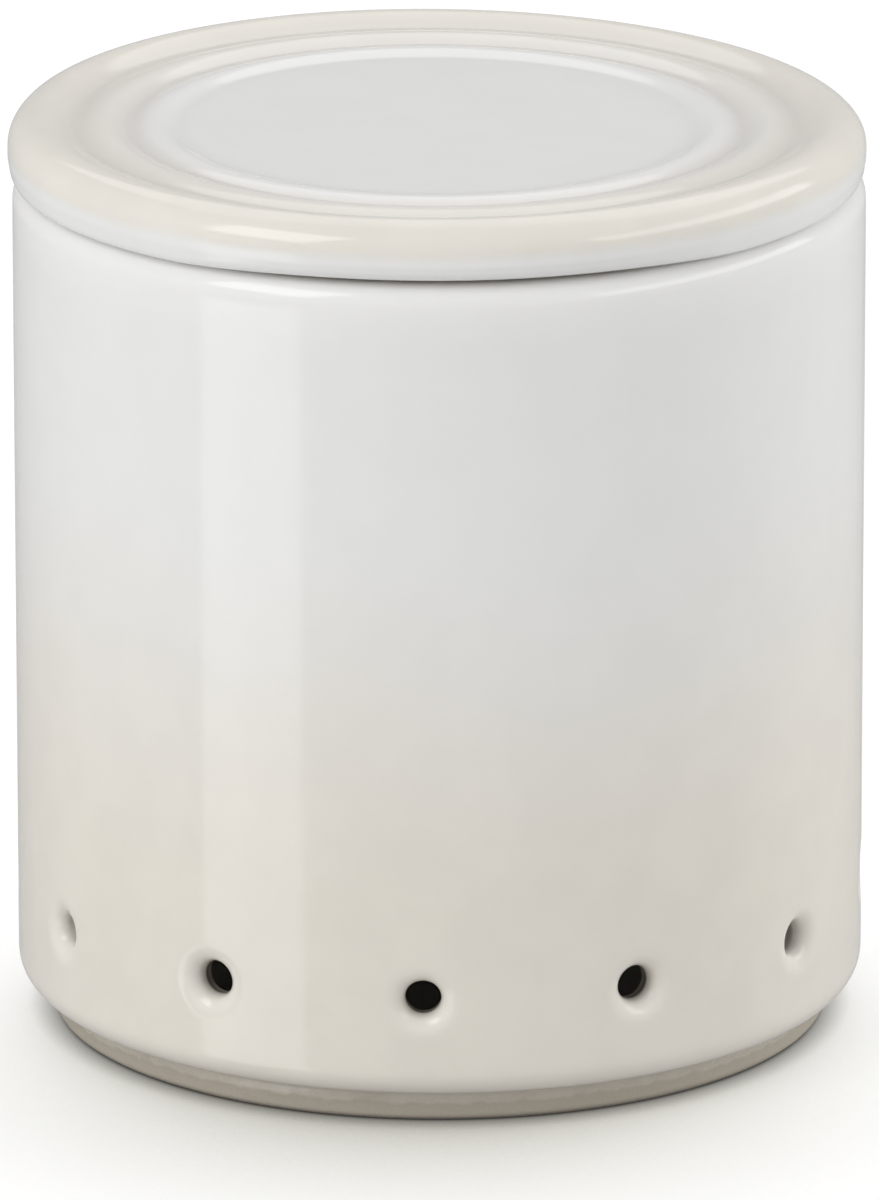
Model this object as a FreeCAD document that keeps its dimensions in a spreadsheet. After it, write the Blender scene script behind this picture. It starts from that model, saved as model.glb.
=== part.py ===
import FreeCAD, Part
import math
import os

import Sketcher
from FreeCAD import Vector

# Garlic keeper in glazed stoneware: a straight round jar on a set-back foot ring, with a row of
# air vents low in its wall, and a loose lid with turned rings that locates inside the rim.
# Millimetres. +Z is up the jar's axis, the origin is at the middle of the foot's contact plane,
# and one vent faces -Y.

SIZES = [
    # jar
    ("jar_radius", 60.0, "outside of the straight wall"),
    ("jar_height", 122.2, "table to the rim, where the lid seats"),
    ("wall", 5.0, "thickness of the jar's wall"),
    ("floor", 5.0, "thickness of the jar's floor"),
    ("inside_corner", 2.0, "bevel between the floor and the inside of the wall"),
    ("rim_shoulder", 2.0, "bevel on the rim's outer edge"),
    ("rim_inside", 1.0, "bevel on the rim's inner edge"),
    ("base_round", 3.9, "reach of the turn from the wall to its underside, made in two flats"),
    # foot ring
    ("foot_height", 4.7, "table to the underside of the wall"),
    ("foot_inset", 5.0, "from the wall's outside to the foot's outside"),
    ("foot_width", 4.5, "thickness of the foot ring"),
    ("foot_recess", 3.4, "depth of the hollow inside the foot ring"),
    # vents
    ("vent_count", 12, "vents in the row"),
    ("vent_bore", 5.0, "diameter of a vent"),
    ("vent_height", 19.8, "table to the middle of a vent"),
    ("mouth_width", 1.9, "how far a vent's flared mouth widens on each side"),
    ("mouth_depth", 1.35, "how far the flare reaches into the wall"),
    # lid, its heights measured from the seat on the rim
    ("lid_overhang", 0.6, "how far the lid stands out past the jar's wall"),
    ("lid_height", 9.1, "top of the roll at the lid's edge"),
    ("roll_round", 5.0, "round on the outside of the roll"),
    ("lid_edge", 1.9, "bevel on the lid's lower edge"),
    ("disc_radius", 36.3, "flat middle of the lid"),
    ("disc_height", 7.0, "top of the flat middle"),
    ("inner_groove_radius", 43.0, "groove between the two rings"),
    ("inner_groove_height", 7.15, "bottom of that groove"),
    ("outer_groove_radius", 50.7, "groove between the outer ring and the roll"),
    ("outer_groove_height", 7.65, "bottom of that groove"),
    ("inner_ring_height", 7.75, "top of the inner ring"),
    ("outer_ring_height", 8.15, "top of the outer ring"),
    ("roll_crest", 2.5, "width of the roll's nearly level top, inside its outer round"),
    ("lid_plate", 5.5, "thickness of the lid's flat middle"),
    # locating rim under the lid
    ("spigot_clearance", 0.8, "gap all round between the locating rim and the jar's wall"),
    ("spigot_depth", 5.0, "how far the locating rim reaches into the jar"),
    ("spigot_width", 4.5, "thickness of the locating rim"),
    ("spigot_edge", 1.2, "lead-in bevel on the locating rim's outer lower edge"),
]

CREST_DROP = "0.25"  # share of the roll's inner slope that falls to its nearly level top
HORIZONTAL_AXIS = -1
VERTICAL_AXIS = -2
ORIGIN = (-1, 1)
START, END = 1, 2
FIT = 1e-4
PAST_THE_WALL = "1"  # how far a cut runs on beyond the wall's faces

doc = FreeCAD.newDocument("garlic_keeper")


# --- sheet and helpers ---------------------------------------------------------------------------

def make_sheet():
    """Spreadsheet with one aliased cell for each driving dimension."""
    table = doc.addObject("Spreadsheet::Sheet", "size")
    for row, (name, number, meaning) in enumerate(SIZES, start=1):
        table.set(f"A{row}", name)
        table.set(f"B{row}", str(number))
        table.setAlias(f"B{row}", name)
        table.set(f"C{row}", meaning)
    doc.recompute()
    return table


sheet = make_sheet()

# Radii that several features share, as expressions over the sheet.
INSIDE_RADIUS = "(size.jar_radius - size.wall)"
FLOOR_TOP = "(size.foot_recess + size.floor)"
FOOT_OUTSIDE = "(size.jar_radius - size.foot_inset)"
FOOT_INSIDE = "(size.jar_radius - size.foot_inset - size.foot_width)"
LID_RADIUS = "(size.jar_radius + size.lid_overhang)"
SPIGOT_OUTSIDE = "(size.jar_radius - size.wall - size.spigot_clearance)"
SPIGOT_INSIDE = "(size.jar_radius - size.wall - size.spigot_clearance - size.spigot_width)"
UNDERSIDE = "(size.disc_height - size.lid_plate)"
BASE_ROUND = "min(size.base_round; 0.95 * size.foot_inset)"
ROLL_TOP = f"({LID_RADIUS} - size.roll_round)"
CREST_END = f"(size.lid_height - {CREST_DROP} * (size.lid_height - size.outer_groove_height))"
HALFWAY_ROUND = "(1 - sqrt(0.5))"  # where a quarter round of radius one is halfway round


def value(expression):
    """Number that an expression over the sheet gives."""
    return float(sheet.evalExpression(expression))


def origin_feature(body, role):
    """Plane or axis of the body's own origin."""
    return next(item for item in body.Origin.OriginFeatures if item.Role == role)


def make_body(label):
    body = doc.addObject("PartDesign::Body", label)
    body.Label = label
    return body


def make_sketch(body, name, role="XZ_Plane"):
    """Sketch in a plane of the body's origin. In the XZ plane x is the radius and y the height."""
    sketch = body.newObject("Sketcher::SketchObject", name)
    sketch.AttachmentSupport = [(origin_feature(body, role), "")]
    sketch.MapMode = "FlatFace"
    return sketch


def constrain(sketch, *definition):
    return sketch.addConstraint(Sketcher.Constraint(*definition))


def bind(sketch, index, expression):
    """Drive a dimension of the sketch from the sheet."""
    sketch.setExpression(f"Constraints[{index}]", expression)


def place(sketch, geometry, point, x=None, y=None):
    """Hold a point of the sketch at a radius x and a height y, both expressions."""
    for kind, expression, axis in (("DistanceX", x, VERTICAL_AXIS), ("DistanceY", y, HORIZONTAL_AXIS)):
        if expression is None:
            continue
        distance = value(expression)
        if expression == "0":
            constrain(sketch, "PointOnObject", geometry, point, axis)
        elif distance > 0:
            bind(sketch, constrain(sketch, kind, *ORIGIN, geometry, point, distance), expression)
        else:
            index = constrain(sketch, kind, geometry, point, *ORIGIN, -distance)
            bind(sketch, index, f"-({expression})")


def arc(first, last, radius):
    """Arc that turns anticlockwise from the first point to the last."""
    half = (last - first) / 2
    to_centre = Vector(-half.y, half.x, 0).normalize() * math.sqrt(radius ** 2 - half.Length ** 2)
    centre = first + half + to_centre
    angles = [math.atan2(point.y - centre.y, point.x - centre.x) for point in (first, last)]
    return Part.ArcOfCircle(Part.Circle(centre, Vector(0, 0, 1), radius), *angles)


def draw_outline(sketch, corners):
    """Closed outline, anticlockwise through corners given as (x, y) expressions.

    A third expression is the radius of the arc from that corner to the next one.
    """
    points = [Vector(value(corner[0]), value(corner[1]), 0) for corner in corners]
    following = points[1:] + points[:1]
    for corner, first, last in zip(corners, points, following):
        if len(corner) == 3:
            side = sketch.addGeometry(arc(first, last, value(corner[2])))
            bind(sketch, constrain(sketch, "Radius", side, value(corner[2])), corner[2])
        else:
            sketch.addGeometry(Part.LineSegment(first, last))
    for index, corner in enumerate(corners):
        constrain(sketch, "Coincident", index, END, (index + 1) % len(corners), START)
        place(sketch, index, START, corner[0], corner[1])


def turn(body, kind, sketch, name):
    """Full turn of a section about its sketch's upright axis, as a Revolution or a Groove."""
    turned = body.newObject(f"PartDesign::{kind}", name)
    turned.Profile = sketch
    turned.ReferenceAxis = (sketch, ["V_Axis"])
    turned.Angle = 360
    doc.recompute()
    return turned


def circle_edges(feature, corner):
    """Names of the feature's level circular edges at a (radius, height) corner."""
    radius, height = map(value, corner)
    names = [f"Edge{number}" for number, edge in enumerate(feature.Shape.Edges, start=1)
             if isinstance(edge.Curve, Part.Circle)
             and abs(edge.Curve.Radius - radius) < FIT
             and abs(edge.Curve.Center.z - height) < FIT]
    if not names:
        raise RuntimeError(f"{feature.Name}: no edge of radius {radius} at height {height}")
    return names


def bevel(body, name, base, corner, amount):
    """Chamfer of the circular edge at a (radius, height) corner, its size driven from the sheet."""
    chamfer = body.newObject("PartDesign::Chamfer", name)
    chamfer.Base = (base, circle_edges(base, corner))
    chamfer.setExpression("Size", amount)
    body.Tip = chamfer
    doc.recompute()
    return chamfer


# --- jar -----------------------------------------------------------------------------------------

def make_jar():
    """Jar: wall, floor and foot ring in one pot, then its soft edges, then the row of vents."""
    body = make_body("jar")
    section = make_sketch(body, "jar_section")
    # turned half a pitch, so that the seam of the round wall runs between two vents
    section.AttachmentOffset = FreeCAD.Placement(Vector(), FreeCAD.Rotation(Vector(0, 1, 0), 15))
    section.setExpression("AttachmentOffset.Rotation.Angle", "180 / size.vent_count")
    draw_outline(section, [
        ("0", "size.foot_recess"),
        (FOOT_INSIDE, "size.foot_recess"),
        (FOOT_INSIDE, "0"),
        (FOOT_OUTSIDE, "0"),
        (FOOT_OUTSIDE, "size.foot_height"),
        (f"size.jar_radius - {BASE_ROUND}", "size.foot_height"),
        (f"size.jar_radius - {BASE_ROUND} * {HALFWAY_ROUND}",
         f"size.foot_height + {BASE_ROUND} * {HALFWAY_ROUND}"),
        ("size.jar_radius", f"size.foot_height + {BASE_ROUND}"),
        ("size.jar_radius", "size.jar_height"),
        (INSIDE_RADIUS, "size.jar_height"),
        (INSIDE_RADIUS, FLOOR_TOP),
        ("0", FLOOR_TOP),
    ])
    pot = turn(body, "Revolution", section, "pot")
    pot = bevel(body, "rim_shoulder", pot, ("size.jar_radius", "size.jar_height"),
                "min(size.rim_shoulder; 0.5 * size.wall)")
    pot = bevel(body, "rim_inside", pot, (INSIDE_RADIUS, "size.jar_height"),
                "min(size.rim_inside; 0.25 * size.wall)")
    pot = bevel(body, "inside_corner", pot, (INSIDE_RADIUS, FLOOR_TOP), "size.inside_corner")
    cut_vents(body, pot)
    return body


def cut_vents(body, pot):
    """Row of vents: one bore with a flared mouth, turned about its own axis, then repeated."""
    section = make_sketch(body, "vent_section", "XY_Plane")
    section.AttachmentOffset = FreeCAD.Placement(Vector(0, 0, value("size.vent_height")),
                                                 FreeCAD.Rotation())
    section.setExpression("AttachmentOffset.Base.z", "size.vent_height")
    bore = "(size.vent_bore / 2)"
    mouth = "(size.vent_bore / 2 + size.mouth_width)"
    throat = "-(size.jar_radius - min(size.mouth_depth; 0.6 * size.wall))"
    inner_end = f"-(size.jar_radius - size.wall - {PAST_THE_WALL})"
    outer_end = f"-(size.jar_radius + {PAST_THE_WALL})"
    draw_outline(section, [
        ("0", outer_end),
        (mouth, outer_end),
        (mouth, "-size.jar_radius"),
        (bore, throat),
        (bore, inner_end),
        ("0", inner_end),
    ])
    vent = turn(body, "Groove", section, "vent")
    if pot.Shape.Volume - vent.Shape.Volume < value("pi * (size.vent_bore / 2)^2 * size.wall / 2"):
        raise RuntimeError("the vent does not cut the wall")

    row = body.newObject("PartDesign::PolarPattern", "vent_row")
    row.Originals = [vent]
    row.Axis = (origin_feature(body, "Z_Axis"), [""])
    row.Angle = 360
    row.setExpression("Occurrences", "size.vent_count")
    body.Tip = row
    doc.recompute()


# --- lid -----------------------------------------------------------------------------------------

def make_lid():
    """Lid: a plate with a rolled edge and turned rings, and a locating rim under it."""
    body = make_body("lid")
    body.setExpression("Placement.Base.z", "size.jar_height")
    section = make_sketch(body, "lid_section")
    draw_outline(section, [
        ("0", UNDERSIDE),
        (SPIGOT_INSIDE, UNDERSIDE),
        (SPIGOT_INSIDE, "-size.spigot_depth"),
        (SPIGOT_OUTSIDE, "-size.spigot_depth"),
        (SPIGOT_OUTSIDE, "0"),
        (LID_RADIUS, "0"),
        (LID_RADIUS, "size.lid_height - size.roll_round", "size.roll_round"),
        (ROLL_TOP, "size.lid_height"),
        (f"{ROLL_TOP} - size.roll_crest", CREST_END),
        ("size.outer_groove_radius", "size.outer_groove_height"),
        *ring_top("size.outer_groove_radius", "size.inner_groove_radius", "size.outer_ring_height"),
        ("size.inner_groove_radius", "size.inner_groove_height"),
        *ring_top("size.inner_groove_radius", "size.disc_radius", "size.inner_ring_height"),
        ("size.disc_radius", "size.disc_height"),
        ("0", "size.disc_height"),
    ])
    plate = turn(body, "Revolution", section, "plate")
    plate = bevel(body, "lid_edge", plate, (LID_RADIUS, "0"),
                  "min(size.lid_edge; 0.9 * (size.lid_height - size.roll_round))")
    bevel(body, "spigot_edge", plate, (SPIGOT_OUTSIDE, "-size.spigot_depth"),
          "min(size.spigot_edge; 0.4 * size.spigot_width)")
    return body


def ring_top(outer, inner, height):
    """The two corners of a ring's level top, a third of the way in from the grooves beside it."""
    return [(f"(2 * {outer} + {inner}) / 3", height), (f"({outer} + 2 * {inner}) / 3", height)]


# --- document ------------------------------------------------------------------------------------

def check(parts):
    """Stop if any object of the document failed or a sub-part is not one valid solid."""
    for item in doc.Objects:
        if "Invalid" in item.State or "Error" in item.State:
            raise RuntimeError(f"{item.Label}: {item.State}")
        if item.TypeId == "Sketcher::SketchObject" and item.solve() != 0:
            raise RuntimeError(f"{item.Label}: its constraints are not met")
    for part in parts:
        if part.Shape.isNull() or not part.Shape.isValid() or len(part.Shape.Solids) != 1:
            raise RuntimeError(f"{part.Label}: not one valid solid")


def main():
    parts = [make_jar(), make_lid()]
    doc.recompute()
    check(parts)
    os.makedirs("parts", exist_ok=True)
    for part in parts:
        part.Shape.exportStep(f"parts/{part.Label}.step")
        box = part.Shape.optimalBoundingBox()
        print(part.Label, f"{box.XLength:.2f} x {box.YLength:.2f} x {box.ZLength:.2f} mm,",
              f"from z {box.ZMin:.2f}, {part.Shape.Volume / 1000:.1f} cm3")


main()
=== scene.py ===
"""Garlic keeper in glazed stoneware: the finished look of its jar and lid, in metres.

The jar is one skin, turned from its section and opened by a row of flared air vents. The lid is
turned too, with rings on top and a locating rim below. Both stand where the CAD parts stand.
"""

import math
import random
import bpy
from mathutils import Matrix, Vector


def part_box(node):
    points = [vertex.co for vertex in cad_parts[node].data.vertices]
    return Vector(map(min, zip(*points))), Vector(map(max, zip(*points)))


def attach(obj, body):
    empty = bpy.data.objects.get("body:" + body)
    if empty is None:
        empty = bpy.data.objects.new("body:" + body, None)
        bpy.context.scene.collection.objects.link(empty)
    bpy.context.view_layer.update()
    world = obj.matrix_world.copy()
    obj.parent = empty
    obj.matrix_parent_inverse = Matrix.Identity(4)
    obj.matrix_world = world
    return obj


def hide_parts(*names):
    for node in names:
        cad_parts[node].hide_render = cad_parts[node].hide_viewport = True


bl_info = {
    "name": "Garlic Keeper",
    "version": (1, 0, 0),
    "blender": (4, 5, 0),
    "location": "3D View > Sidebar > Keeper",
    "description": "Builds a glazed stoneware garlic keeper with air vents and a ringed lid",
    "category": "Object",
}

import bmesh
import bpy
from bpy.props import FloatProperty, FloatVectorProperty, IntProperty, PointerProperty
from mathutils import Vector

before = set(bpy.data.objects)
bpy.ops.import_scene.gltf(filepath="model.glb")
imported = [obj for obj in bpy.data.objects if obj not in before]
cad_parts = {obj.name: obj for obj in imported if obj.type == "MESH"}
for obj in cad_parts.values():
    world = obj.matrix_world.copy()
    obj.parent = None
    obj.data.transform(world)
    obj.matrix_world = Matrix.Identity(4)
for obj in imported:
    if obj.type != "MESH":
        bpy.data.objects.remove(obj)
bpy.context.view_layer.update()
JAR_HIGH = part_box("jar")[1]
LID_LOW, LID_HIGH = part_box("lid")

MM = 0.001
VENT_COUNT = 12
COLUMNS_PER_VENT = 12
COLUMNS = VENT_COUNT * COLUMNS_PER_VENT
PATCH = 8  # cells along each side of the square patch that a vent opens in
CAP_SHARE = 0.55  # share of a flat end's radius that its square grid takes up
GLAZED_VENTS = {2: 0.5, 10: 1.0}  # vents that glaze ran into, by their number from the front
GLAZE_NARROWS = 0.2  # share of a vent's bore that glaze fills where it ran in
LID_OFFSET = 0.3 * MM
SUBDIVISIONS = 1
SHADE_LEAN = (0.0, 0.9, 0.42)  # where the table's shade looks for light: behind and above
SHADE_SAMPLES = 12


def length(name, description, default):
    return FloatProperty(name=name, description=description, default=default, min=0.0,
                         precision=5, subtype="DISTANCE", unit="LENGTH")


def amount(name, description, default):
    return FloatProperty(name=name, description=description, default=default, min=0.0)


def portion(name, description, default):
    return FloatProperty(name=name, description=description, default=default,
                         min=0.0, max=1.0, subtype="FACTOR")


def turn(name, description, degrees):
    return FloatProperty(name=name, description=description, default=math.radians(degrees),
                         subtype="ANGLE", unit="ROTATION")


def colour(name, description, default):
    return FloatVectorProperty(name=name, description=description, default=default,
                               size=3, min=0.0, max=1.0, subtype="COLOR")


# --- settings ------------------------------------------------------------------------------------

class JarShape(bpy.types.PropertyGroup):
    radius: length("Radius", "Outside of the straight wall", JAR_HIGH.x)
    height: length("Height", "Table to the rim", JAR_HIGH.z)
    wall: length("Wall", "Thickness of the wall", 5.0 * MM)
    floor_height: length("Floor", "Table to the top of the floor", 8.4 * MM)
    floor_round: length("Floor round", "Round between the floor and the wall inside", 3.6 * MM)
    shoulder: length("Shoulder", "Round on the rim's outer edge", 3.5 * MM)
    rim_round: length("Rim round", "Round on the rim's inner edge", 1.2 * MM)
    base_round: length("Base round", "Round where the wall turns under", 3.9 * MM)
    foot_height: length("Foot height", "Table to the underside of the wall", 4.7 * MM)
    foot_inset: length("Foot inset", "Wall's outside to the foot's outside", 5.0 * MM)
    foot_width: length("Foot width", "Thickness of the foot ring", 4.5 * MM)
    foot_recess: length("Foot recess", "Depth of the hollow inside the foot ring", 3.4 * MM)
    foot_round: length("Foot round", "Rounds on the foot ring", 0.9 * MM)
    foot_edge: length("Foot edge", "Round on the foot ring's outer lower edge", 1.4 * MM)


class VentShape(bpy.types.PropertyGroup):
    height: length("Height", "Table to the middle of a vent", 19.2 * MM)
    bore: length("Bore", "Diameter of a vent", 5.0 * MM)
    lip_width: length("Lip width", "How far the flared mouth widens on each side", 3.0 * MM)
    lip_depth: length("Lip depth", "How far the flare reaches into the wall", 2.5 * MM)
    inner_round: length("Inner round", "Round where a vent opens inside the jar", 1.0 * MM)
    handwork: portion("Handwork", "How much the mouths differ from each other", 0.5)
    seed: IntProperty(name="Seed", description="Choice of the mouths' differences", default=7)


class LidShape(bpy.types.PropertyGroup):
    radius: length("Radius", "Outside of the roll", LID_HIGH.x - LID_OFFSET)
    offset: length("Offset", "How far the lid lies to one side in its clearance", LID_OFFSET)
    seat: length("Seat", "Table to the seat on the jar's rim", JAR_HIGH.z)
    top: length("Top", "Table to the top of the roll", LID_HIGH.z)
    bottom: length("Bottom", "Table to the lowest edge of the locating rim", LID_LOW.z)
    roll_round: length("Roll round", "Round on the outside of the roll", 4.7 * MM)
    lower_round: length("Lower round", "Round on the lid's lower edge", 2.0 * MM)
    crease: length("Crease", "Step from the lower round out to the roll's side", 0.14 * MM)
    gap: length("Gap", "Widest gap between the lid's lower edge and the jar's rim", 0.55 * MM)
    outer_groove: length("Outer groove", "Radius of the groove beside the roll", 50.7 * MM)
    outer_groove_drop: length("Outer groove drop", "Top of the roll down to that groove", 1.55 * MM)
    outer_ring: length("Outer ring", "Radius of the outer ring's crown", 46.7 * MM)
    outer_ring_drop: length("Outer ring drop", "Top of the roll down to that crown", 0.92 * MM)
    inner_groove: length("Inner groove", "Radius of the groove between the rings", 43.0 * MM)
    inner_groove_rise: length("Inner groove rise", "Flat middle up to that groove", 0.12 * MM)
    inner_ring: length("Inner ring", "Radius of the inner ring's crown", 39.5 * MM)
    inner_ring_drop: length("Inner ring drop", "Top of the roll down to that crown", 1.3 * MM)
    inner_slope: length("Inner slope", "Inner ring's crown to the flat middle's edge", 3.3 * MM)
    disc_drop: length("Disc drop", "Top of the roll down to the flat middle", 2.1 * MM)
    spigot_outside: length("Locating rim", "Outside radius of the locating rim", 54.2 * MM)
    spigot_width: length("Locating rim width", "Thickness of the locating rim", 4.5 * MM)
    spigot_round: length("Locating rim round", "Rounds on its lowest edge", 1.3 * MM)
    spigot_root: length("Locating rim root", "Round between it and the seat", 0.5 * MM)
    seat_inset: length("Seat inset", "Outside of the roll to the end of the seat", 4.2 * MM)
    under_round: length("Underside round", "Round from the underside to that rim", 2.0 * MM)
    plate: length("Plate", "Thickness of the flat middle", 5.5 * MM)
    warp: length("Warp", "How far the top sank across one diagonal in the firing", 0.2 * MM)
    lean: length("Lean", "How far the top lies lower on its right side", 0.6 * MM)
    true_height: length("True height", "Height above the seat that the warp spares", 2.0 * MM)
    edge_height: length("Edge height", "Height above the seat that the closed gap bends", 3.0 * MM)


class Glaze(bpy.types.PropertyGroup):
    white: colour("White", "Main glaze", (0.760, 0.760, 0.750))
    sand: colour("Sand", "Second glaze, low on the jar and on the lid's roll",
                 (0.735, 0.695, 0.625))
    # the thin colour also paints highlights on the lid's crests, the jar's shoulder and the vents'
    # lips
    thin: colour("Thin", "Glaze where it ran thin over a crest or an edge", (0.830, 0.820, 0.800))
    # the pooled colour also paints shade in the lid's grooves and deep in the vents' flares
    pooled_and_shaded: colour("Pooled", "Glaze where it gathered in a groove or corner", (0.660, 0.630, 0.590))
    clay: colour("Clay", "Bare clay of the foot ring and the lid's seat", (0.440, 0.397, 0.332))
    # painted shade: near-black clay for the contact shadow at the foot's edge, the shade in the
    # vents' bores and the gap under the lid's edge
    painted_shade: colour("Shaded clay", "Clay at the foot's edge and in the vents", (0.110, 0.090, 0.070))
    fade_low: length("Fade low", "Height up to which the jar is all sand", 32.0 * MM)
    fade_high: length("Fade high", "Height from which the jar is all white", 92.0 * MM)
    fade_drift: length("Fade drift", "Height over which that fade wanders", 26.0 * MM)
    side_low: length("Side low", "Height above the seat up to which the lid is white", 3.0 * MM)
    side_high: length("Side high", "Height above the seat from which the lid is sand", 5.4 * MM)
    lid_sand: portion("Lid sand", "Share of sand on the lid's roll", 0.85)
    gloss: portion("Roughness", "Roughness of the glaze", 0.10)


class Studio(bpy.types.PropertyGroup):
    azimuth: turn("Azimuth", "Camera's turn round the keeper", 2.3)
    elevation: turn("Elevation", "Camera's height above level", 17.05)
    roll: turn("Roll", "Camera's turn about its view", -0.05)
    distance: length("Distance", "Camera to the keeper's middle", 2.2)
    target_height: length("Target height", "Height that the camera aims at", 59.2 * MM)
    lens: amount("Lens", "Focal length in millimetres on a 36 mm sensor", 466.0)
    ambient: amount("Ambient", "Brightness of the white room", 0.50)
    table_reach: length("Table reach", "Middle of the table to its edges", 4.0)
    floor: colour("Floor", "Colour of the table", (0.60, 0.60, 0.60))
    floor_seen: amount("Floor seen", "Brightness of the table to the camera", 1.06)
    shade: colour("Shade", "Tint of the table in the keeper's shade", (1.0, 0.96, 0.76))
    contact: length("Contact", "Reach of the shade where the keeper stands", 70 * MM)
    # painted shadow: the table darkens to near black in a line along the foot
    line: length("Line", "Reach of the dark line along the foot", 4 * MM)
    shadow_line_depth: portion("Line depth", "How dark that line is", 0.98)
    own_light: portion("Own light", "Share of the table's light that no shadow takes away", 0.75)
    near: length("Near", "Distance from the keeper at which that share starts to grow", 0.15)
    far: length("Far", "Distance from the keeper at which that share is whole", 0.60)


# --- turned skins --------------------------------------------------------------------------------

def arc(centre, radius, start, end, steps):
    """Points (radius, height) of an arc in a section, its angles in degrees from level."""
    points = []
    for step in range(steps + 1):
        angle = math.radians(start + (end - start) * step / steps)
        points.append((centre[0] + radius * math.cos(angle), centre[1] + radius * math.sin(angle)))
    return points


def spaced(first, last, steps):
    """Points between two points of a section, without the first."""
    return [tuple(a + (b - a) * step / steps for a, b in zip(first, last))
            for step in range(1, steps + 1)]


def ease(value):
    """Smooth rise from 0 to 1."""
    value = min(max(value, 0.0), 1.0)
    return value * value * (3 - 2 * value)


class Skin:
    """Closed mesh turned about the Z axis.

    Each vertex has a pool and shade value, from -1 for glaze that ran thin and for painted
    highlights to 1 for glaze that gathered and for painted shade, and its bare clay, from 0 to 1.
    """

    def __init__(self):
        self.mesh = bmesh.new()
        self.pool = self.mesh.verts.layers.float.new("pool")
        self.bare = self.mesh.verts.layers.float.new("bare")
        self.rings = []

    def point(self, place, pool=0.0, bare=0.0):
        vertex = self.mesh.verts.new(place)
        vertex[self.pool] = pool
        vertex[self.bare] = bare
        return vertex

    def ring(self, radius, height, pool=0.0, bare=0.0):
        """Ring of vertices. Its first column faces -Y."""
        ring = []
        for column in range(COLUMNS):
            angle = 2 * math.pi * column / COLUMNS - math.pi / 2
            place = (radius * math.cos(angle), radius * math.sin(angle), height)
            ring.append(self.point(place, pool, bare))
        self.rings.append(ring)

    def along(self, points, pool=0.0, bare=0.0):
        """Rings at the points (radius, height) of a section."""
        for radius, height in points:
            self.ring(radius, height, pool, bare)

    def band(self, first, second, kept=None):
        """Faces between two closed loops of vertices, all of them or the kept columns."""
        count = len(first)
        for column in range(count):
            if kept is None or kept(column):
                after = (column + 1) % count
                self.mesh.faces.new((first[column], first[after], second[after], second[column]))

    def skin(self, open_rows=()):
        """Faces between all rings in turn. In the open rows, the vents' patches are left out."""
        for row in range(len(self.rings) - 1):
            kept = outside_patches if row in open_rows else None
            self.band(self.rings[row], self.rings[row + 1], kept)

    def cap(self, ring):
        """Flat end inside a ring, as a square grid stretched to the round."""
        side = COLUMNS // 4
        height, pool, bare = ring[0].co.z, ring[0][self.pool], ring[0][self.bare]
        radius = ring[0].co.xy.length
        border = ([(i, 0) for i in range(side)] + [(side, i) for i in range(side)]
                  + [(side - i, side) for i in range(side)] + [(0, side - i) for i in range(side)])
        grid = {}
        for step, cell in enumerate(border):
            # the grid's corners lie on the diagonals, an eighth of a turn from the first column
            grid[cell] = ring[(step - side // 2) % COLUMNS]
        for i in range(1, side):
            for j in range(1, side):
                place = radius * square_to_round(2 * i / side - 1, 2 * j / side - 1)
                grid[i, j] = self.point((place.x, place.y, height), pool, bare)
        for i in range(side):
            for j in range(side):
                corners = (i, j), (i + 1, j), (i + 1, j + 1), (i, j + 1)
                self.mesh.faces.new([grid[corner] for corner in corners])

    def finish(self, name):
        """Object of the finished skin, smooth and subdivided."""
        loose = [vertex for vertex in self.mesh.verts if not vertex.link_faces]
        bmesh.ops.delete(self.mesh, geom=loose, context="VERTS")
        bmesh.ops.recalc_face_normals(self.mesh, faces=self.mesh.faces)
        data = bpy.data.meshes.new(name)
        self.mesh.to_mesh(data)
        self.mesh.free()
        data.shade_smooth()
        piece = bpy.data.objects.new(name, data)
        bpy.context.scene.collection.objects.link(piece)
        softener = piece.modifiers.new("Soft", "SUBSURF")
        softener.levels = softener.render_levels = SUBDIVISIONS
        return piece


def square_to_round(a, b):
    """Point of the unit disc for a point of the square from -1 to 1, square rings kept as rings."""
    if a == b == 0:
        return Vector((0, 0))
    if abs(a) >= abs(b):
        reach, angle = a, math.pi / 4 * b / a
    else:
        reach, angle = b, math.pi / 2 - math.pi / 4 * a / b
    return reach * Vector((math.cos(angle), math.sin(angle)))


def outside_patches(column):
    """True for the columns of the wall that no vent's patch covers."""
    past_middle = (column + PATCH // 2) % COLUMNS_PER_VENT
    return past_middle >= PATCH


# --- jar -----------------------------------------------------------------------------------------

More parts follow.
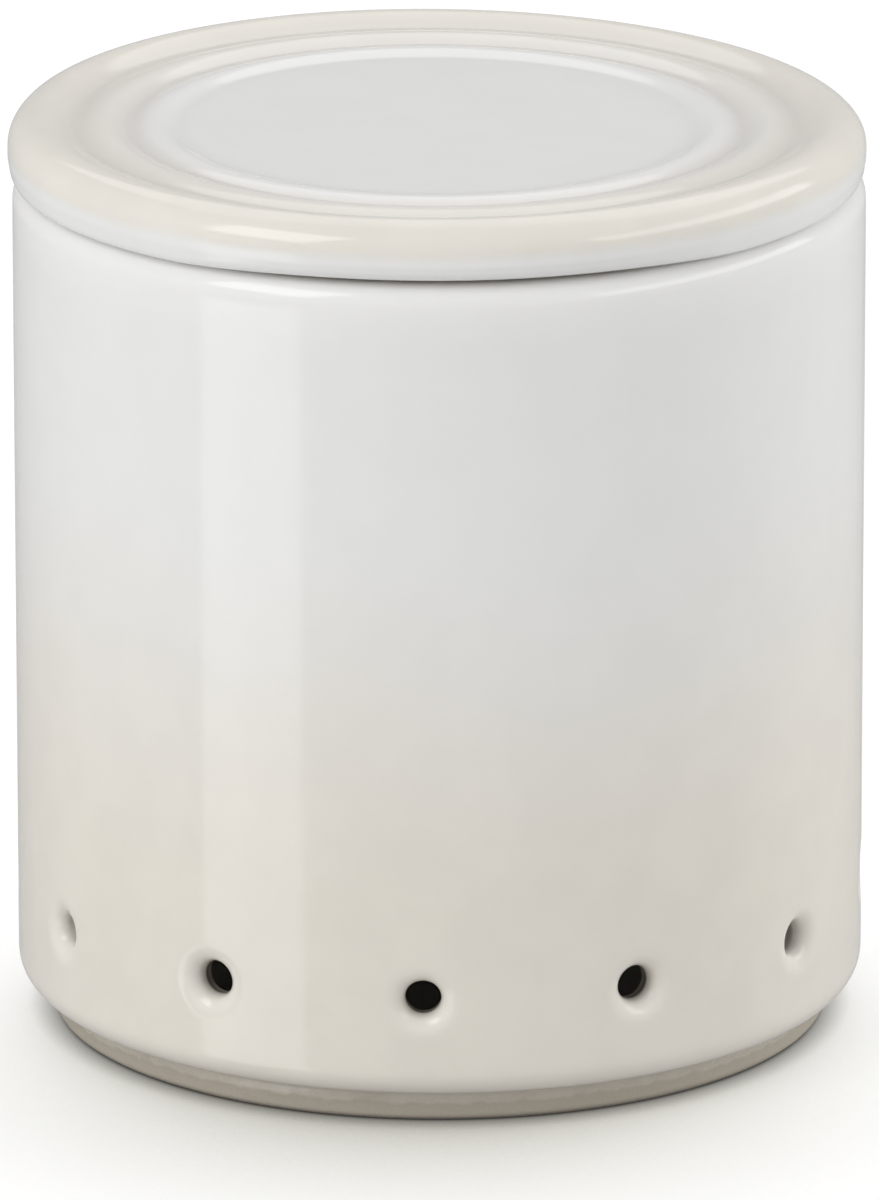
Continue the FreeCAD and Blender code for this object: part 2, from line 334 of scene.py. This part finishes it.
def turn_jar(skin, jar, vent):
    """Rings of the jar's section: from under its middle, up outside, over the rim and down inside.

    Returns the first rows of the vents' patches outside and inside.
    """
    foot_outside = jar.radius - jar.foot_inset
    foot_inside = foot_outside - jar.foot_width
    inside = jar.radius - jar.wall
    soft, edge = jar.foot_round, jar.foot_edge
    rise = jar.base_round
    patch = patch_reach(jar)
    add = skin.along

    recess_edge = foot_inside - soft
    add(spaced((foot_inside * CAP_SHARE, jar.foot_recess), (recess_edge, jar.foot_recess), 4))
    add(arc((recess_edge, jar.foot_recess - soft), soft, 90, 0, 4)[1:], pool=0.7)
    add(arc((foot_inside + soft, soft), soft, 180, 270, 5), bare=1.0)
    add(spaced((foot_inside + soft, 0), (foot_outside - edge, 0), 3)[:-1], bare=1.0)
    # painted contact shadow: the foot's lower edge is darkened to near black clay, fading out
    # upwards
    darkest_contact_shade, unshaded_from, fade_steps = 0.8, 7, 4
    lower_edge = arc((foot_outside - edge, edge), edge, 270, 360, 9)
    for step, (radius, height) in enumerate(lower_edge):
        contact_shade = darkest_contact_shade * ease((unshaded_from - step) / fade_steps)
        skin.ring(radius, height, pool=contact_shade, bare=1.0)
    # the glaze starts high on the foot, sheer, and is whole where the wall is upright;
    # its clay tone is painted shade under the wall's round and painted light in the crease
    glaze_start = jar.foot_height - soft * 1.6
    add([(foot_outside, glaze_start)], bare=0.55)
    add(arc((foot_outside + soft, jar.foot_height - soft), soft, 180, 90, 4), bare=0.5)
    under_wall = arc((jar.radius - rise, jar.foot_height + rise), rise, 270, 360, 8)[:-1]
    for step, (radius, height) in enumerate(under_wall):
        cover = ease(step / (len(under_wall) - 1))
        skin.ring(radius, height, bare=0.42 * (1 - cover))
    add([(jar.radius, jar.foot_height + rise)])

    outer_row = len(skin.rings)
    add([(jar.radius, vent.height + patch * (2 * row / PATCH - 1)) for row in range(PATCH + 1)])
    shoulder_start = jar.height - jar.shoulder
    add(spaced((jar.radius, vent.height + patch), (jar.radius, shoulder_start), 18)[:-1])
    rim_outer = jar.radius - jar.shoulder
    # thin glaze with a painted highlight on the shoulder's round
    add(arc((rim_outer, shoulder_start), jar.shoulder, 0, 90, 9), pool=-0.5)
    rim_inner = inside + jar.rim_round
    add(arc((rim_inner, jar.height - jar.rim_round), jar.rim_round, 90, 180, 5), pool=-0.6)

    inner_top = jar.height - jar.rim_round
    inner_patch = inner_patch_reach(jar, vent)
    add(spaced((inside, inner_top), (inside, vent.height + inner_patch), 14)[:-1])
    inner_row = len(skin.rings)
    add([(inside, vent.height - inner_patch * (2 * row / PATCH - 1)) for row in range(PATCH + 1)])
    corner = (inside - jar.floor_round, jar.floor_height + jar.floor_round)
    add(arc(corner, jar.floor_round, 0, -90, 6), pool=0.5)
    add(spaced((corner[0], jar.floor_height), (inside * CAP_SHARE, jar.floor_height), 4))
    return outer_row, inner_row


def patch_reach(jar):
    """Half the height of a vent's patch outside, a little less than half its width."""
    half_width = jar.radius * math.pi * PATCH / COLUMNS
    return half_width * 0.96


def inner_patch_reach(jar, vent):
    """Half the height of a vent's patch inside, where the floor's round leaves less room."""
    above_round = vent.height - jar.floor_height - jar.floor_round
    return above_round * 0.8


def patch_border(rings, row, middle):
    """Vertices round a patch, anticlockwise from the corner with the lowest row and column."""
    low, high = middle - PATCH // 2, middle + PATCH // 2
    cells = [(row, low + i) for i in range(PATCH)] + [(row + i, high) for i in range(PATCH)]
    cells += [(row + PATCH, high - i) for i in range(PATCH)]
    cells += [(row + PATCH - i, low) for i in range(PATCH)]
    return [rings[line][column % COLUMNS] for line, column in cells]


class Vent:
    """One hole through the wall, told in its own axes: across, up, and out along its bore."""

    def __init__(self, number, jar, vent, dice):
        angle = 2 * math.pi * number / VENT_COUNT - math.pi / 2
        self.out = Vector((math.cos(angle), math.sin(angle), 0))
        self.across = Vector((-math.sin(angle), math.cos(angle), 0))
        self.jar = jar
        self.height = vent.height

        def differ(reach):
            return dice.uniform(-reach, reach) * vent.handwork

        self.shift = (differ(0.45 * MM), differ(0.35 * MM))
        self.oval = 1 + differ(0.05)
        self.lip = vent.lip_width * (1 + differ(0.16))
        self.depth = vent.lip_depth * (1 + differ(0.18))
        self.glazed = GLAZED_VENTS.get(number, 0.0)
        self.bore = vent.bore / 2 * (1 - GLAZE_NARROWS * self.glazed)

    def local(self, vertex):
        """Across and up from the vent's middle to a vertex."""
        return vertex.co.dot(self.across), vertex.co.z - self.height

    def place(self, across, up, depth, wall_radius):
        """Point that lies a depth inside the round wall of that radius, measured along the bore."""
        out = math.sqrt(wall_radius ** 2 - across ** 2) - depth
        return self.out * out + self.across * across + Vector((0, 0, self.height + up))

    def loop(self, skin, radius, depth, wall_radius, share=1.0, border=None, pool=0.0, bare=0.0):
        """Loop of vertices round the bore. A share under 1 draws it towards the patch's border."""
        count = 4 * PATCH
        first_corner = math.radians(225)
        made = []
        off_centre = ease((radius - self.bore) / self.lip)
        for step in range(count):
            angle = first_corner + 2 * math.pi * step / count
            across = radius * math.cos(angle) * self.oval + self.shift[0] * off_centre
            up = radius * math.sin(angle) / self.oval + self.shift[1] * off_centre
            if border:
                edge = self.local(border[step])
                across = edge[0] + (across - edge[0]) * share
                up = edge[1] + (up - edge[1]) * share
            made.append(skin.point(self.place(across, up, depth, wall_radius), pool, bare))
        return made


def open_vent(skin, vent, outer_border, inner_border, inner_round):
    """Skin of one vent, from its patch outside, in along its flare and bore, to the one inside."""
    jar = vent.jar
    inside = jar.radius - jar.wall
    mouth = vent.bore + vent.lip
    loops = [outer_border]
    # from the patch's square border in to the round mouth
    for share, reach in ((0.45, mouth * 1.30), (0.85, mouth * 1.25)):
        loops.append(vent.loop(skin, reach, 0, jar.radius, share, outer_border))
    loops.append(vent.loop(skin, mouth * 1.12, 0, jar.radius))
    for degrees in (0, 14, 28, 42, 56, 68, 79, 90):
        turned = math.radians(degrees)
        radius = mouth - vent.lip * math.sin(turned)
        depth = vent.depth * (1 - math.cos(turned))
        # painted shade deep in the flare, with pooled glaze, and a painted highlight on its lip,
        # with thin glaze
        gathered = 0.8 * ease((degrees - 50) / 40)
        thinned_and_highlit = 0.25 * ease(degrees / 28) * ease((75 - degrees) / 30)
        loops.append(vent.loop(skin, radius, depth, jar.radius, pool=gathered - thinned_and_highlit))
    middle = (vent.depth + jar.wall - inner_round) / 2
    # painted shade: an unglazed bore and its inner round are dark clay
    bare = 1 - vent.glazed
    loops.append(vent.loop(skin, vent.bore, middle, jar.radius, pool=bare, bare=bare))
    for degrees in (90, 60, 30, 0):
        turned = math.radians(degrees)
        radius = vent.bore + inner_round * (1 - math.sin(turned))
        depth = -inner_round * (1 - math.cos(turned))
        loops.append(vent.loop(skin, radius, depth, inside, pool=0.3 * bare, bare=bare))
    loops.append(vent.loop(skin, vent.bore + inner_round * 1.6, 0, inside))
    loops.append(vent.loop(skin, vent.bore + inner_round * 2.2, 0, inside, 0.6, inner_border))
    loops.append(inner_border)
    for first, second in zip(loops, loops[1:]):
        skin.band(first, second)


def build_jar(jar, vent):
    """The jar as one closed skin, with its vents."""
    skin = Skin()
    outer_row, inner_row = turn_jar(skin, jar, vent)
    rows = range(PATCH)
    skin.skin(open_rows={outer_row + row for row in rows} | {inner_row + row for row in rows})
    skin.cap(skin.rings[0])
    skin.cap(skin.rings[-1])
    upside_down = skin.rings[::-1]
    inner_low_row = len(skin.rings) - 1 - inner_row - PATCH
    dice = random.Random(vent.seed)
    for number in range(VENT_COUNT):
        middle = number * COLUMNS_PER_VENT
        outer_border = patch_border(skin.rings, outer_row, middle)
        inner_border = patch_border(upside_down, inner_low_row, middle)
        open_vent(skin, Vent(number, jar, vent, dice), outer_border, inner_border, vent.inner_round)
    return skin.finish("glazed_jar")


# --- lid -----------------------------------------------------------------------------------------

def lid_levels(lid):
    """Crests and grooves of the lid's upper face, from the roll to the flat middle.

    Each has its radius, its height and its pool and shade value: pooled glaze with painted shade in
    the grooves, thin glaze with a painted highlight on the crests.
    """
    flat = lid.top - lid.disc_drop
    return [
        (lid.radius - lid.roll_round, lid.top, 0.0),
        # grooves darkened with pooled glaze and painted shade, crests lightened with thin glaze and
        # a painted highlight
        (lid.outer_groove, lid.top - lid.outer_groove_drop, 1.0),
        (lid.outer_ring, lid.top - lid.outer_ring_drop, -0.1),
        (lid.inner_groove, flat + lid.inner_groove_rise, 0.9),
        (lid.inner_ring, lid.top - lid.inner_ring_drop, -0.3),
        (lid.inner_ring - lid.inner_slope, flat, 0.25),
    ]


def ring_section(lid):
    """Points of the upper face between the roll's crest and the flat middle, with their pool and
    shade value.
    """
    points = []
    levels = lid_levels(lid)
    steps, broadness = 7, 1.5
    for outer, inner in zip(levels, levels[1:]):
        rising = inner[1] > outer[1]
        for step in range(1, steps + 1):
            share = step / steps
            # crests are broad and grooves narrow
            near_crest = math.sin(math.pi / 2 * (share if rising else 1 - share)) ** broadness
            height_share = near_crest if rising else 1 - near_crest
            radius = outer[0] + (inner[0] - outer[0]) * share
            height = outer[1] + (inner[1] - outer[1]) * height_share
            points.append((radius, height, outer[2] + (inner[2] - outer[2]) * height_share))
    return points


def turn_lid(skin, lid):
    """Rings of the lid's section: from under its middle, out past its rim, and in over the top."""
    spigot_inside = lid.spigot_outside - lid.spigot_width
    underside = lid.top - lid.disc_drop - lid.plate
    edge, root, corner = lid.spigot_round, lid.spigot_root, lid.under_round
    seat_end = lid.radius - lid.seat_inset
    add = skin.along

    add(spaced((spigot_inside * CAP_SHARE, underside), (spigot_inside - corner, underside), 4))
    add(arc((spigot_inside - corner, underside - corner), corner, 90, 0, 5)[1:], pool=0.6)
    add([(spigot_inside, (underside + lid.bottom) / 2)])
    add(arc((spigot_inside + edge, lid.bottom + edge), edge, 180, 270, 5), pool=-0.5)
    add(arc((lid.spigot_outside - edge, lid.bottom + edge), edge, 270, 360, 5), pool=-0.5)
    add([(lid.spigot_outside, (lid.bottom + edge + lid.seat - root) / 2)], bare=0.3)
    add(arc((lid.spigot_outside + root, lid.seat - root), root, 180, 90, 4), bare=1.0)
    add(spaced((lid.spigot_outside + root, lid.seat), (seat_end, lid.seat), 4)[:-1], bare=1.0)
    # painted shade in the gap under the lid's edge: the seat's outer clay is darkened
    add([(seat_end, lid.seat), (seat_end + lid.gap, lid.seat + lid.gap * 0.6)], pool=0.3, bare=1.0)
    lower = lid.seat + lid.gap + lid.lower_round
    centre = (lid.radius - lid.lower_round - lid.crease, lower)
    rounding = arc(centre, lid.lower_round, 270, 355, 7)
    add(rounding[:1], bare=0.6)
    add(rounding[1:])
    add([(lid.radius, lower + lid.crease * 1.5)])
    side_top = lid.top - lid.roll_round
    add([(lid.radius, (lower + side_top) / 2)])
    add(arc((lid.radius - lid.roll_round, side_top), lid.roll_round, 0, 90, 12))
    for radius, height, pool in ring_section(lid):
        skin.ring(radius, height, pool)
    flat_edge, flat_height = lid.inner_ring - lid.inner_slope, lid.top - lid.disc_drop
    grid_edge = flat_edge * 0.6
    add(spaced((flat_edge, flat_height), (grid_edge, flat_height), 6))


def settle(skin, lid):
    """Bring the turned lid out of true, as fired clay is, and set it down to one side.

    Its top dips across one diagonal and leans, and the gap under its edge closes towards the two
    sides.
    """
    true_top = lid.seat + lid.true_height
    high_side = math.radians(135)
    widest_gap = math.radians(6)  # turn of the widest gap from straight in front
    still_open, closing_over = 0.985, 0.25  # sines of the turn from where the gap is closed
    most_closed = 0.95
    edge_start = 0.92  # share of the radius
    for vertex in skin.mesh.verts:
        outwards = min(vertex.co.xy.length / lid.radius, 1)
        angle = math.atan2(vertex.co.y, vertex.co.x)
        share = ease((vertex.co.z - true_top) / (lid.top - true_top))
        dip = lid.warp * outwards ** 2 * (1 - math.cos(2 * (angle - high_side)))
        vertex.co.z -= share * (dip + lid.lean * (1 + outwards * math.cos(angle)) / 2)
        above_seat = vertex.co.z - lid.seat
        if outwards > edge_start and 0 <= above_seat < lid.edge_height:
            openness = abs(math.sin(angle - widest_gap))
            closed = most_closed * ease((still_open - openness) / closing_over)
            upper = ease((above_seat - lid.gap) / (lid.edge_height - lid.gap))
            vertex.co.z -= closed * (1 - upper) * above_seat
            # where the gap is closed, the seat's clay and the painted shade of the gap give way to
            # the glaze's colour
            vertex[skin.bare] *= 1 - closed
            vertex[skin.pool] *= 1 - closed
        vertex.co.x -= lid.offset


def build_lid(lid):
    """The lid as one closed skin."""
    skin = Skin()
    turn_lid(skin, lid)
    skin.skin()
    skin.cap(skin.rings[0])
    skin.cap(skin.rings[-1])
    settle(skin, lid)
    return skin.finish("glazed_lid")


# --- glazes --------------------------------------------------------------------------------------

class Tree:
    """Node tree of a material, with short calls for the nodes that the glazes use."""

    def __init__(self, name):
        self.material = bpy.data.materials.new(name)
        self.material.use_nodes = True
        self.nodes = self.material.node_tree.nodes
        self.links = self.material.node_tree.links
        self.nodes.clear()

    def add(self, kind, inputs=None, **settings):
        """Node of a kind, with its settings. Its inputs are linked or set to a value."""
        node = self.nodes.new(kind)
        for name, value in settings.items():
            setattr(node, name, value)
        for socket, value in (inputs or {}).items():
            if isinstance(value, bpy.types.NodeSocket):
                self.links.new(value, node.inputs[socket])
            else:
                node.inputs[socket].default_value = value
        return node

    def maths(self, operation, first, second):
        return self.add("ShaderNodeMath", {0: first, 1: second}, operation=operation).outputs[0]

    def between(self, value, low, high, to_low=0.0, to_high=1.0):
        """Smooth step of a value from low to high."""
        inputs = {"Value": value, "From Min": low, "From Max": high,
                  "To Min": to_low, "To Max": to_high}
        return self.add("ShaderNodeMapRange", inputs, interpolation_type="SMOOTHSTEP").outputs[0]

    def clamp(self, value):
        """Value kept from 0 to 1."""
        return self.add("ShaderNodeClamp", {0: value}).outputs[0]

    def place(self):
        """Place on the piece, in the piece's own axes."""
        return self.add("ShaderNodeTexCoord").outputs["Object"]

    def height(self):
        return self.add("ShaderNodeSeparateXYZ", {0: self.place()}).outputs["Z"]

    def noise(self, size, detail=2.0, stretch=None):
        """Noise from 0 to 1 with patches of about that size."""
        place = self.place()
        if stretch:
            place = self.add("ShaderNodeVectorMath", {0: place, 1: stretch},
                             operation="MULTIPLY").outputs[0]
        inputs = {"Vector": place, "Scale": 1 / size, "Detail": detail}
        return self.add("ShaderNodeTexNoise", inputs).outputs[0]

    def swing(self, noise, reach):
        """Noise from 0 to 1 made to swing about 0, by half the reach to each side."""
        return self.maths("MULTIPLY", self.maths("SUBTRACT", noise, 0.5), reach)

    def blend(self, factor, first, second):
        """Mix of two colours."""
        inputs = {0: factor, 6: first, 7: second}
        return self.add("ShaderNodeMix", inputs, data_type="RGBA").outputs[2]

    def attribute(self, name):
        return self.add("ShaderNodeAttribute", attribute_name=name).outputs["Fac"]

    def finish(self, shader):
        self.add("ShaderNodeOutputMaterial", {"Surface": shader})
        return self.material


def opaque(rgb, share=1.0):
    """A colour for a socket, darkened to a share of its brightness."""
    return (*(part * share for part in rgb), 1.0)


def glazed_clay(tree, glaze, sand_share):
    """Gloss glaze in two colours. It is whiter where thin, with painted highlights, and warmer and
    darker where it gathered, with painted shade.

    Bare clay is matt and grainy, and painted near black where shade falls.
    """
    # soft patches in both colours
    mottle = tree.between(tree.noise(9 * MM, 3.0), 0.3, 0.7)
    pale = tree.blend(tree.maths("MULTIPLY", mottle, 0.5),
                      opaque(glaze.white), opaque(glaze.white, 0.97))
    warm = tree.blend(tree.maths("MULTIPLY", mottle, 0.6),
                      opaque(glaze.sand), opaque(glaze.sand, 0.95))
    covered = tree.blend(sand_share, pale, warm)
    pool = tree.attribute("pool")
    # pooled glaze, with painted shade in the lid's grooves and deep in the vents; thin glaze, with
    # painted highlights on the lid's crests, the jar's shoulder and the vents' lips
    gathered = tree.clamp(tree.maths("MULTIPLY", pool, 0.75))
    covered = tree.blend(gathered, covered, opaque(glaze.pooled_and_shaded))
    thin_and_highlit = tree.clamp(tree.maths("MULTIPLY", pool, -0.7))
    covered = tree.blend(thin_and_highlit, covered, opaque(glaze.thin))

    grain = tree.noise(0.45 * MM)
    clay = tree.blend(grain, opaque(glaze.clay, 0.86), opaque(glaze.clay))
    # painted shade: the clay darkens to near black where the pool and shade value is above 0
    clay = tree.blend(tree.clamp(pool), clay, opaque(glaze.painted_shade))
    # the glaze grows sheer towards its edge, and the clay shows through; under the jar's wall the
    # clay tone is also painted shade
    uncovered = tree.attribute("bare")
    sheer = tree.blend(tree.between(uncovered, 0.0, 0.5, 0.0, 0.6), covered, clay)
    ragged = tree.swing(tree.noise(2.5 * MM, 3.0), 0.5)
    bare = tree.between(tree.maths("ADD", uncovered, ragged), 0.45, 0.75)
    surface = tree.blend(bare, sheer, clay)

    gloss = tree.between(tree.noise(14 * MM), 0.3, 0.7, glaze.gloss * 0.85, glaze.gloss * 1.2)
    matt = tree.maths("ADD", tree.maths("MULTIPLY", bare, 0.65), gloss)

    # low swells and fine dimples in the glaze, grains in the clay
    swell = tree.add("ShaderNodeBump", {"Height": tree.noise(11 * MM, 1.0), "Distance": 0.03 * MM,
                                        "Strength": 0.35})
    dimples = tree.add("ShaderNodeBump", {"Height": tree.noise(1.3 * MM, 1.0),
                                          "Distance": 0.004 * MM, "Strength": 0.5,
                                          "Normal": swell.outputs[0]})
    rough_clay = tree.add("ShaderNodeBump", {"Height": tree.maths("MULTIPLY", grain, bare),
                                             "Distance": 0.08 * MM, "Strength": 0.6,
                                             "Normal": dimples.outputs[0]})
    shader = tree.add("ShaderNodeBsdfPrincipled", {
        "Base Color": surface, "Roughness": matt, "Normal": rough_clay.outputs[0], "IOR": 1.5})
    return tree.finish(shader.outputs[0])


def jar_glaze(glaze):
    """White glaze that fades to sand towards the foot, with a drifting edge."""
    tree = Tree("jar_glaze")
    drift = tree.swing(tree.noise(45 * MM, 3.0, (1, 1, 0.7)), glaze.fade_drift)
    height = tree.maths("ADD", tree.height(), drift)
    sand_share = tree.between(height, glaze.fade_low, glaze.fade_high, 1.0, 0.0)
    return glazed_clay(tree, glaze, sand_share)


def lid_glaze(glaze, lid):
    """Sand glaze on the roll that fades to white over the rings and down the side."""
    tree = Tree("lid_glaze")
    level = tree.add("ShaderNodeVectorMath", {0: tree.place(), 1: (1, 1, 0)},
                     operation="MULTIPLY").outputs[0]
    radius = tree.add("ShaderNodeVectorMath", {0: level}, operation="LENGTH").outputs["Value"]
    noise = tree.noise(16 * MM, 3.0)
    radius = tree.maths("ADD", radius, tree.swing(noise, 5 * MM))
    outwards = tree.between(radius, lid.inner_ring - 3 * MM, lid.outer_ring + 6 * MM)
    height = tree.maths("ADD", tree.height(), tree.swing(noise, 1.2 * MM))
    upwards = tree.between(height, lid.seat + glaze.side_low, lid.seat + glaze.side_high)
    share = tree.maths("MULTIPLY", outwards, upwards)
    return glazed_clay(tree, glaze, tree.maths("MULTIPLY", share, glaze.lid_sand))


# --- stage ---------------------------------------------------------------------------------------

# Whether a lamp lights matt surfaces and whether it shows in glossy ones. The large lamps to the
# sides stay out of the gloss, or the lid's flat middle would mirror them.
MATT, GLOSS, BOTH = (True, False), (False, True), (True, True)

# azimuth and elevation in degrees, distance, width and height in metres, brightness beside white
LAMPS = {
    "strip_left": (-49, 27, 1.5, 0.75, 1.7, 3.45, MATT),
    "strip_left_foot": (-49, -22, 1.5, 0.75, 0.6, 1.4, BOTH),
    "glint_left": (-49, 42, 1.5, 0.75, 0.8, 2.8, GLOSS),
    "left": (-95, 8, 1.5, 1.1, 0.9, 0.45, MATT),
    "strip_right": (77, 20, 1.5, 2.2, 1.1, 1.44, MATT),
    "glint_right": (85, 30, 1.5, 2.2, 0.45, 1.9, GLOSS),
    "right": (122, 12, 1.5, 1.3, 1.3, 1.40, MATT),
    "back": (180, 55, 1.6, 1.6, 1.2, 0.83, BOTH),
}


def facing(azimuth, elevation):
    """Direction from the keeper to a place round it. Azimuth 0 is in front, at -Y."""
    return Vector((math.sin(azimuth) * math.cos(elevation),
                   -math.cos(azimuth) * math.cos(elevation), math.sin(elevation)))


def aim(thing, target):
    """Turn a camera or lamp to look at a target."""
    thing.rotation_euler = (target - thing.location).to_track_quat("-Z", "Y").to_euler()


def softbox(name, target, azimuth, elevation, distance, width, height, brightness, surfaces):
    """Rectangular lamp for matt surfaces, gloss or both. At a brightness of 1 it looks white."""
    lamp = bpy.data.lights.new(name, "AREA")
    lamp.shape = "RECTANGLE"
    lamp.size, lamp.size_y = width, height
    lamp.energy = brightness * math.pi * width * height
    thing = bpy.data.objects.new(name, lamp)
    bpy.context.scene.collection.objects.link(thing)
    thing.location = target + distance * facing(math.radians(azimuth), math.radians(elevation))
    thing.visible_camera = False
    thing.visible_diffuse, thing.visible_glossy = surfaces
    aim(thing, target)


def hidden_sky(tree, inputs):
    """Share of the light that things nearby keep from the table."""
    openness = tree.add("ShaderNodeAmbientOcclusion", inputs, samples=SHADE_SAMPLES)
    return tree.maths("SUBTRACT", 1.0, openness.outputs["AO"])


def floor_material(studio):
    """Pale matt table with a soft shade where the keeper stands.

    The camera sees it a little brighter than it lights the keeper.
    """
    tree = Tree("table")
    black = opaque((0, 0, 0))
    seen = tree.add("ShaderNodeLightPath").outputs["Is Camera Ray"]
    # the shade falls to the front, as under light from above and behind
    lean = tree.add("ShaderNodeCombineXYZ", dict(zip("XYZ", SHADE_LEAN))).outputs[0]
    closed = hidden_sky(tree, {"Distance": studio.contact, "Normal": lean})
    deep = tree.maths("POWER", closed, 2.0)
    tint = tree.blend(deep, opaque([studio.floor_seen] * 3),
                      opaque(studio.shade, studio.floor_seen))
    shaded = tree.blend(deep, tint, black)
    # painted contact shadow: a dark line on the table along the foot
    beside_foot = hidden_sky(tree, {"Distance": studio.line})
    line = tree.maths("MULTIPLY", beside_foot, studio.shadow_line_depth)
    shaded = tree.blend(line, shaded, black)
    matt = tree.add("ShaderNodeBsdfDiffuse", {
        "Color": tree.blend(seen, opaque(studio.floor), shaded)})
    lit = tree.add("ShaderNodeEmission", {"Color": shaded})
    # further out, where no shadow falls, the table is plain white
    away = tree.add("ShaderNodeVectorMath", {0: tree.place()}, operation="LENGTH").outputs["Value"]
    own_light = tree.between(away, studio.near, studio.far, studio.own_light, 1.0)
    mix = tree.add("ShaderNodeMixShader", {
        0: tree.maths("MULTIPLY", seen, own_light), 1: matt.outputs[0], 2: lit.outputs[0]})
    return tree.finish(mix.outputs[0])


def set_room(studio):
    """Even white room, pure white to the camera."""
    world = bpy.data.worlds.new("room")
    bpy.context.scene.world = world
    world.use_nodes = True
    nodes, links = world.node_tree.nodes, world.node_tree.links
    background = nodes["Background"]
    path = nodes.new("ShaderNodeLightPath")
    level = nodes.new("ShaderNodeMapRange")
    level.inputs["To Min"].default_value = studio.ambient
    level.inputs["To Max"].default_value = 1.0
    links.new(path.outputs["Is Camera Ray"], level.inputs["Value"])
    links.new(level.outputs[0], background.inputs["Strength"])
    background.inputs["Color"].default_value = (1, 1, 1, 1)


def set_camera(studio, target):
    camera = bpy.data.objects.new("camera", bpy.data.cameras.new("camera"))
    bpy.context.scene.collection.objects.link(camera)
    bpy.context.scene.camera = camera
    camera.data.lens = studio.lens
    camera.location = target + studio.distance * facing(studio.azimuth, studio.elevation)
    aim(camera, target)
    camera.rotation_euler.rotate_axis("Z", studio.roll)


def set_stage(studio):
    bpy.ops.mesh.primitive_grid_add(x_subdivisions=8, y_subdivisions=8,
                                    size=2 * studio.table_reach)
    floor = bpy.context.object
    floor.name = "table"
    floor.data.materials.append(floor_material(studio))
    floor.visible_glossy = False
    set_room(studio)
    target = Vector((0, 0, studio.target_height))
    set_camera(studio, target)
    for name, lamp in LAMPS.items():
        softbox(name, target, *lamp)
    bpy.context.scene.view_settings.view_transform = "Standard"


# --- operators and panel -------------------------------------------------------------------------

class KEEPER_OT_jar(bpy.types.Operator):
    """Build the glazed jar with its foot ring and air vents"""

    bl_idname = "keeper.jar"
    bl_label = "Build jar"

    def execute(self, context):
        scene = context.scene
        piece = build_jar(scene.keeper_jar, scene.keeper_vent)
        piece.data.materials.append(jar_glaze(scene.keeper_glaze))
        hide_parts("jar")
        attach(piece, "jar")
        return {"FINISHED"}


class KEEPER_OT_lid(bpy.types.Operator):
    """Build the glazed lid with its rings and locating rim"""

    bl_idname = "keeper.lid"
    bl_label = "Build lid"

    def execute(self, context):
        scene = context.scene
        piece = build_lid(scene.keeper_lid)
        piece.data.materials.append(lid_glaze(scene.keeper_glaze, scene.keeper_lid))
        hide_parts("lid")
        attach(piece, "lid")
        return {"FINISHED"}


class KEEPER_OT_stage(bpy.types.Operator):
    """Set the table, the lamps and the camera"""

    bl_idname = "keeper.stage"
    bl_label = "Set stage"

    def execute(self, context):
        set_stage(context.scene.keeper_studio)
        return {"FINISHED"}


class KEEPER_PT_panel(bpy.types.Panel):
    """Sizes, colours and steps of the garlic keeper"""

    bl_idname = "KEEPER_PT_panel"
    bl_label = "Garlic Keeper"
    bl_space_type = "VIEW_3D"
    bl_region_type = "UI"
    bl_category = "Keeper"

    def draw(self, context):
        for title, name, group, operator in STEPS:
            box = self.layout.box()
            box.label(text=title)
            settings = getattr(context.scene, name)
            for entry in group.__annotations__:
                box.prop(settings, entry)
            if operator:
                box.operator(operator.bl_idname)


STEPS = (
    ("Glaze", "keeper_glaze", Glaze, None),
    ("Vents", "keeper_vent", VentShape, None),
    ("Jar", "keeper_jar", JarShape, KEEPER_OT_jar),
    ("Lid", "keeper_lid", LidShape, KEEPER_OT_lid),
    ("Stage", "keeper_studio", Studio, KEEPER_OT_stage),
)
CLASSES = (JarShape, VentShape, LidShape, Glaze, Studio,
           KEEPER_OT_jar, KEEPER_OT_lid, KEEPER_OT_stage, KEEPER_PT_panel)


def register():
    for item in CLASSES:
        bpy.utils.register_class(item)
    for _, name, group, _ in STEPS:
        setattr(bpy.types.Scene, name, PointerProperty(type=group))


def unregister():
    for _, name, _, _ in STEPS:
        delattr(bpy.types.Scene, name)
    for item in reversed(CLASSES):
        bpy.utils.unregister_class(item)


def main():
    register()
    bpy.ops.keeper.jar()
    bpy.ops.keeper.lid()
    bpy.ops.keeper.stage()


if __name__ == "__main__":
    main()
